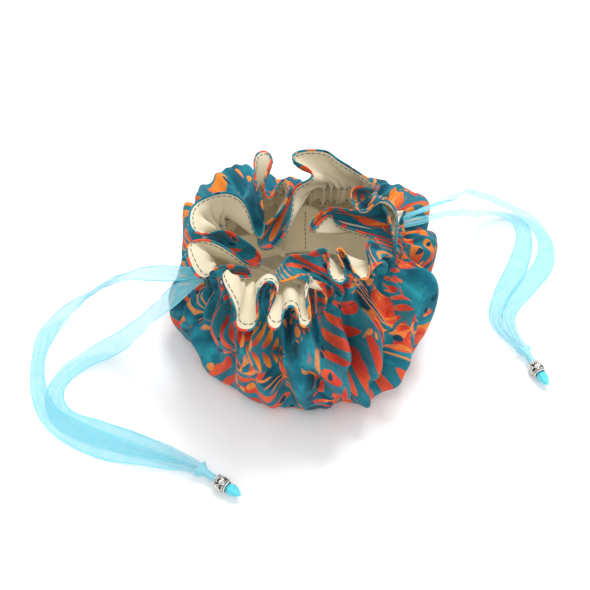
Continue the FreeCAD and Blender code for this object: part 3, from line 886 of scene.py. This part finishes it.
def fold_push(cut):
    """How far the cloth of one level stands out of the smooth body, going round."""
    push = np.zeros(COLUMNS)
    fading = float(ease((cut - 60) / 24) * (1 - ease((cut - 117) / 12)))
    for neck, foot, fold, spread in FOLDS:
        gap = angle_gap(NECK_DIRECTION, foot + (neck - foot) * float(ease((cut - 62) / 62)))
        beside = hump(gap, 1.7 * spread, spread) + hump(gap, -1.7 * spread, spread)
        push += fold * fading * (hump(gap, 0, spread) - 0.45 * beside)
    at_neck = float(ease((cut - 97) / 30))
    push += GATHER_DEPTH * at_neck * blend_rows(GATHERS, (cut - 108) / 20)
    smooth_front = 1 - 0.5 * hump(angle_gap(NECK_DIRECTION, 290), 0, 55)
    middle = MIDDLE_DEPTH * float(ease((cut - 64) / 32) * (1 - ease((cut - 122) / 10)))
    push += middle * smooth_front * blend_rows(MIDDLE_FOLDS, (cut - 60) / 26)
    broad = BROAD_DEPTH * float(ease((cut - 52) / 18) * (1 - ease((cut - 112) / 14)))
    push += broad * blend_rows(BROAD_FOLDS, (cut - 50) / 30)
    creases = CREASE_DEPTH * float(ease((cut - 56) / 12) * (1 - ease((cut - 118) / 10)))
    push += creases * blend_rows(CREASES, (cut - 50) / 11)
    push = np.where(push > 0, push * (INWARD_MORE + (1 - INWARD_MORE) * at_neck), push)
    dent = hump(angle_gap(NECK_DIRECTION, LEFT_DENT_DIRECTION), 0, 9) * hump(cut, LEFT_DENT_CUT, 9)
    return push - LEFT_DENT * dent


def body_row(cut):
    """One level of the cloth up to the upper channel row, as points and the way out of the bag."""
    width, depth, height, rise, grow = level_shape(cut)
    size = math.hypot(rise, grow) or 1.0
    angle = np.radians(NECK_DIRECTION)
    flat_out = np.stack([np.cos(angle), np.sin(angle), np.zeros(COLUMNS)], axis=1)
    way = unit(flat_out * (rise / size) + np.array([0, 0, -grow / size]))
    push = fold_push(cut)
    points = np.stack([width * np.cos(angle), depth * np.sin(angle), np.full(COLUMNS, height)], axis=1)
    for outwards, upwards, direction, spread, where, reach in FULL_PLACES:
        full = (hump(angle_gap(NECK_DIRECTION, direction), 0, spread) * hump(cut, where, reach))[:, None]
        points = points + flat_out * (outwards * full) + np.array([0, 0, upwards]) * full
        if outwards > 0:
            push = push * (1 - 0.62 * full[:, 0])
    points = points + way * push[:, None]
    points[:, 2] = np.maximum(points[:, 2], 0.45)
    return points, way


def cloth_rows():
    """All levels of the printed cotton, from the base to the ruffled edge, and the way out at each."""
    rim = smooth_loop(closed_curve([p for lobe in RIM.values() for p in lobe], COLUMNS), 1.6)
    neck, neck_way = body_row(CHANNEL_TOP_CUT)
    soft_neck = smooth_loop(neck, 9)
    gathers = neck - soft_neck
    rim_out = unit(smooth_loop(rim, 30) * [1, 1, 0])
    rise = np.array([0, 0, 1.0])
    out_reach = np.einsum("ij,ij->i", rim - soft_neck, neck_way)
    turned_out = np.clip((out_reach + 2) / 8, 0, 1) * np.clip((93 - rim[:, 2]) / 8, 0, 1)
    flare = smooth_loop(turned_out, 4)[:, None]
    slack = np.clip(27 - np.linalg.norm(rim - soft_neck, axis=1, keepdims=True), 0, 16)
    first = soft_neck + rise * (9.0 + 5.0 * flare) + neck_way * (0.5 + 0.5 * slack - 6.5 * flare)
    second = rim + rise * (3.0 * flare - 7.0 * (1 - flare)) - rim_out * (7.5 * flare + 1.0 - 0.2 * slack)
    points, ways = [], []
    for cut in ROWS:
        if cut < CHANNEL_TOP_CUT:
            row, way = body_row(cut)
        else:
            u = (cut - CHANNEL_TOP_CUT) / (CLOTH_RADIUS - CHANNEL_TOP_CUT)
            row = soft_neck * (1 - u) ** 3 + first * 3 * u * (1 - u) ** 2
            row = row + second * 3 * u * u * (1 - u) + rim * u ** 3
            row = row + gathers * (1 - u) ** 1.6
            row = row + neck_way * (1.6 * 4 * u * (1 - u) * blend_rows(RIPPLES, 2.9 * u))[:, None]
            way = neck_way
        points.append(row)
        ways.append(way)
    return np.array(points), np.array(ways)


def surface_normals(grid):
    round_way = np.roll(grid, -1, axis=1) - np.roll(grid, 1, axis=1)
    up_way = np.gradient(grid, axis=0)
    return unit(np.cross(round_way, up_way))


def flat_places(cuts):
    """Where rows of the cloth lie on the flat circle, as map coordinates."""
    turn = np.radians(NECK_DIRECTION)
    shares = (np.asarray(cuts) / CLOTH_RADIUS)[:, None]
    return np.stack([0.5 + 0.5 * shares * np.cos(turn), 0.5 + 0.5 * shares * np.sin(turn)], axis=-1)


outer_grid, out_way = cloth_rows()
normals = surface_normals(outer_grid)
above_channel = np.clip((ROWS - CHANNEL_TOP_CUT) / 9, 0, 1)[:, None, None]
offset_way = unit(out_way * (1 - above_channel) + normals * above_channel)
in_channel = ease((ROWS - 126) / 5) * (1 - ease((ROWS - 150) / 6))
lining_grid = outer_grid - offset_way * (PLY + CHANNEL_PLY * in_channel)[:, None, None]
lining_normals = surface_normals(lining_grid)


def exit_hole(column, height):
    """True inside the slots that the ribbons come out of."""
    gap = min(abs(angle_gap(NECK_DIRECTION[column], side)) for side in (0.0, 180.0))
    across = gap * NECK_MM_PER_DEGREE / EXIT_HALF_WIDTH
    return math.hypot(across, (height - EXIT_HEIGHT) / EXIT_HALF_HEIGHT) < 1


def disc_faces(rows):
    """The faces of rows of cloth, closed by a fan round one more point in the middle of the base."""
    faces = grid_faces(rows, COLUMNS)
    faces += [(rows * COLUMNS, column, (column + 1) % COLUMNS) for column in range(COLUMNS)]
    return faces


def cloth_mesh(name, grid, cuts, material, exits=False):
    faces = disc_faces(len(grid))
    points = np.concatenate([grid.reshape(-1, 3), [[0, 0, grid[0, :, 2].mean()]]])
    if exits:
        kept = []
        for face in faces:
            row, column = divmod(min(face), COLUMNS)
            by_channel = CHANNEL_BOTTOM_CUT - 5 < cuts[row] < CHANNEL_TOP_CUT + 2
            if not (by_channel and exit_hole(column, grid[row, column, 2])):
                kept.append(face)
        faces = kept
    uv = np.concatenate([flat_places(cuts).reshape(-1, 2), [[0.5, 0.5]]])
    return mesh_object(name, points, faces, material, uv)


def roll_over():
    """The printed cloth's last rows turn over the edge onto the lining side."""
    edge, inner = outer_grid[-1], lining_grid[-1]
    middle = (edge + inner) / 2
    rise = unit(outer_grid[-1] - outer_grid[-3])
    rows = []
    for angle in np.linspace(0, math.pi, 5)[1:]:
        rows.append(middle + (edge - middle) * math.cos(angle) * 1.15 + rise * math.sin(angle) * 0.45)
    rows.append(rows[-1] - rise * 0.7)
    return np.array(rows)


rolled = roll_over()
outer_cuts = np.concatenate([ROWS, np.full(len(rolled), CLOTH_RADIUS)])
outer_full = np.concatenate([outer_grid, rolled])
cotton = cloth_mesh("printed_cotton_circle", outer_full, outer_cuts, PRINT, exits=True)
lining = cloth_mesh("cream_lining_circle", lining_grid, ROWS, CREAM)
LAYERS = ((cotton, "outer_cotton", "printed_cotton"), (lining, "lining", "cream_cotton"))
for piece, node_name, slot in LAYERS:
    belongs(piece, "bag", node_name)


# ---------------- pockets
POCKETS = 8
POCKET_ROWS = 30
POCKET_FOOT, POCKET_HEM = 50.0, 82.0
POCKET_SLACK = 9.0              # how far a pocket's mouth stands off the lining
POCKET_SINK, SINK_DIRECTION = 50.0, 136     # the back left of the pockets sags towards the middle
# The turned hem: rise and step inwards from the pockets' upper edge
HEM = ((0.35, 0.2), (0.35, 0.7), (-0.2, 0.9), (-2.4, 0.8), (-4.6, 0.65))


def pocket_rows():
    """The pocket cloth: sewn to the lining in upright rows, slack and crumpled between them."""
    sag = [loop_noise(13, 600 + k) for k in range(3)]
    crumple = [loop_noise(34, 620 + k) for k in range(3)]
    slack = np.cos(np.radians(NECK_DIRECTION) * POCKETS / 2) ** 2
    grid = []
    for share in np.linspace(0, 1, POCKET_ROWS):
        wall, way = body_row(POCKET_FOOT + (POCKET_HEM - POCKET_FOOT) * share)
        wall = wall - way * (PLY + 0.8)
        wall[:, 2] = np.maximum(wall[:, 2], 1.9)
        inward = slack * (POCKET_SLACK + 5.0 * blend_rows(sag, 1.8 * share)) * math.sin(share * math.pi / 2)
        sunken = hump(angle_gap(NECK_DIRECTION, SINK_DIRECTION), 0, 60) * (0.3 + 0.7 * slack) * share ** 1.6
        inward += POCKET_SINK * sunken
        inward += 2.6 * blend_rows(crumple, 1.9 * share) * slack * share ** 0.5
        point = wall - unit(wall * [1, 1, 0]) * np.maximum(inward, 0.0)[:, None]
        lifted = 4.5 * share + 1.5 * share * blend_rows(sag, 1.0)
        point[:, 2] += lifted * np.clip(inward / 6, 0, 1) + 9.0 * sunken
        grid.append(point)
    return np.array(grid)


pocket_grid = pocket_rows()
hem_in = -unit(pocket_grid[-1] * [1, 1, 0])
hem = np.array([pocket_grid[-1] + np.array([0, 0, rise]) + hem_in * inward for rise, inward in HEM])
pocket_full = np.concatenate([pocket_grid, hem])
pocket_cuts = np.linspace(POCKET_FOOT, POCKET_HEM, POCKET_ROWS)
pocket_cuts = np.concatenate([pocket_cuts, np.full(len(HEM), POCKET_HEM)])
pockets = mesh_object("pocket_circle", np.concatenate([pocket_full.reshape(-1, 3), [[0, 0, 1.9]]]),
                      disc_faces(len(pocket_full)), POCKET_CREAM,
                      np.concatenate([flat_places(pocket_cuts).reshape(-1, 2), [[0.5, 0.5]]]))
belongs(pockets, "bag", "pocket_ring")


# ---------------- stitches
def row_at(grid, rows, cut):
    k = int(np.clip(np.searchsorted(rows, cut) - 1, 0, len(rows) - 2))
    share = (cut - rows[k]) / (rows[k + 1] - rows[k])
    return grid[k] * (1 - share) + grid[k + 1] * share


def stitch_row(parts, line, out, dash, gap, radius, closed=True):
    """Short rounded stitches along a line, lying on the cloth and dipping into it at both ends.

    dash, gap and the thread's radius are in millimetres; out is the way away from the cloth.
    """
    if closed:
        line, out = np.concatenate([line, line[:1]]), np.concatenate([out, out[:1]])
    run = run_along(line)
    count = int(run[-1] / (dash + gap))
    profile = ((0.0, -0.22, 0.5), (0.12, 0.1, 0.95), (0.5, 0.2, 1.0), (0.88, 0.1, 0.95), (1.0, -0.22, 0.5))
    for k in range(count):
        start = k * (dash + gap) + RNG.uniform(-0.12, 0.12)
        at = np.array([start + share * dash for share, _, _ in profile])
        centre = at_runs(at, run, line)
        away = unit(at_runs(at, run, out))
        centre = centre + away * (np.array([rise for _, rise, _ in profile]) * radius / 0.22)[:, None]
        parts.tube(centre, np.array([thick for _, _, thick in profile]) * radius, 0, sides=6, up=away[2])


def thread_piece(name, node_name, make):
    """One piece of thread, filled in by make; node_name is the solid it replaces, if it has one."""
    parts = Parts()
    make(parts)
    piece = parts.build(name, [THREAD])
    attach(piece, "bag")
    if node_name:
        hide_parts(node_name)


def seen_outside(parts, cut, *stitch):
    stitch_row(parts, row_at(outer_grid, ROWS, cut), row_at(normals, ROWS, cut), *stitch)


def seen_inside(parts, cut, *stitch):
    stitch_row(parts, row_at(lining_grid, ROWS, cut), -row_at(lining_normals, ROWS, cut), *stitch)


def rim_stitches(parts):
    cut = CLOTH_RADIUS - TOPSTITCH_INSET
    seen_inside(parts, cut, 2.3, 0.6, 0.18)
    seen_outside(parts, cut, 2.3, 0.6, 0.17)


def channel_stitches(cut):
    def make(parts):
        seen_outside(parts, cut, 1.9, 0.9, 0.22)
        seen_inside(parts, cut, 1.9, 0.9, 0.22)
    return make


def exit_stitches(sign):
    """Close oversewing round the slot on the side that sign gives."""
    def make(parts):
        for angle in np.arange(44) / 44 * 2 * math.pi:
            across, high = math.cos(angle), math.sin(angle)
            inner = np.array([sign * 52.9, 4.4 * across, EXIT_HEIGHT + 3.3 * high])
            outer = np.array([sign * 52.6, 6.0 * across, EXIT_HEIGHT + 4.7 * high])
            deep = inner - np.array([sign * 1.6, 0, 0])
            middle = (inner + outer) / 2 + np.array([sign * 0.35, 0, 0])
            low = outer - np.array([sign * 0.9, 0, 0])
            thick = [0.2, 0.3, 0.32, 0.28, 0.15]
            parts.tube([deep, inner, middle, outer, low], thick, 0, up=(sign, 0, 0.1))
    return make


def hem_stitches(parts):
    stitch_row(parts, pocket_grid[-3] + hem_in * 0.5, hem_in, 2.2, 0.8, 0.22)


def pocket_stitches(number):
    def make(parts):
        direction = 360 * (number + 0.5) / POCKETS
        column = int(np.argmin(np.abs(angle_gap(NECK_DIRECTION, direction))))
        line = pocket_grid[3:, column]
        inward = -unit(line * [1, 1, 0])
        stitch_row(parts, line + inward * 0.25, inward, 2.0, 0.8, 0.2, closed=False)
    return make


thread_piece("rim_topstitch_thread", "rim_topstitch", rim_stitches)
thread_piece("channel_thread_upper", "channel_stitch_upper", channel_stitches(CHANNEL_TOP_CUT + 1.0))
thread_piece("channel_thread_lower", "channel_stitch_lower", channel_stitches(CHANNEL_BOTTOM_CUT))
for side, sign in (("left", -1), ("right", 1)):
    thread_piece(f"exit_thread_{side}", f"exit_stitching_{side}", exit_stitches(sign))
thread_piece("pocket_hem_thread", None, hem_stitches)
for number in range(POCKETS):
    thread_piece(f"pocket_thread_{number + 1}", f"pocket_row_{number + 1}", pocket_stitches(number))


# ---------------- ribbons inside the channel
BAND_ROWS = 7


def channel_band(name, low_cut, high_cut, seed):
    """A crumpled organza band between the two layers of cloth."""
    crumple = loop_noise(90, seed)
    grid = []
    for k, cut in enumerate(np.linspace(low_cut, high_cut, BAND_ROWS)):
        share = (0.5 + 0.22 * crumple * (-1) ** k)[:, None]
        grid.append(row_at(outer_grid, ROWS, cut) * (1 - share) + row_at(lining_grid, ROWS, cut) * share)
    uv = np.stack(np.broadcast_arrays(np.linspace(0.05, 0.95, BAND_ROWS)[:, None], SHARE * 300), axis=-1)
    faces = grid_faces(BAND_ROWS, COLUMNS)
    piece = mesh_object(name + "_band", np.array(grid).reshape(-1, 3), faces, RIBBON, uv.reshape(-1, 2))
    belongs(piece, "bag", name)


channel_band("channel_ribbon_left", 140.0, 146.0, 700)
channel_band("channel_ribbon_right", 132.5, 138.5, 710)


# ---------------- table, light
def paper():
    material, tree, shader = new_material("white_table", 0.9, Specular_IOR_Level=0.1)
    place = node(tree, "ShaderNodeTexCoord").outputs["Object"]
    white = mix(tree, noise(tree, place, 60.0, 3.0), colour(246, 247, 248), colour(252, 252, 252))
    tree.links.new(white, shader.inputs["Base Color"])
    return material


TABLE_REACH = 2500.0
corners = [(x * TABLE_REACH, y * TABLE_REACH, 0) for x, y in ((-1, -1), (1, -1), (1, 1), (-1, 1))]
table = mesh_object("table", corners, [(0, 1, 2, 3)], paper(), smooth=False)

world = bpy.data.worlds.new("studio")
bpy.context.scene.world = world
world.use_nodes = True
background = world.node_tree.nodes["Background"]
background.inputs["Color"].default_value = (1.0, 1.0, 1.0, 1.0)
background.inputs["Strength"].default_value = 0.86


def area_light(name, place, size, power, aim=(0, 0, 0.03)):
    light = bpy.data.objects.new(name, bpy.data.lights.new(name, "AREA"))
    light.data.shape = "DISK"
    light.data.size = size
    light.data.energy = power
    light.location = place
    light.rotation_euler = (Vector(aim) - Vector(place)).to_track_quat("-Z", "Y").to_euler()
    bpy.context.scene.collection.objects.link(light)


area_light("key", (0.35, 0.4, 1.0), 0.5, 8.0)
area_light("fill", (-0.25, -0.55, 0.95), 0.7, 2.0)
bpy.context.scene.view_settings.view_transform = "Standard"
bpy.context.scene.view_settings.look = "None"
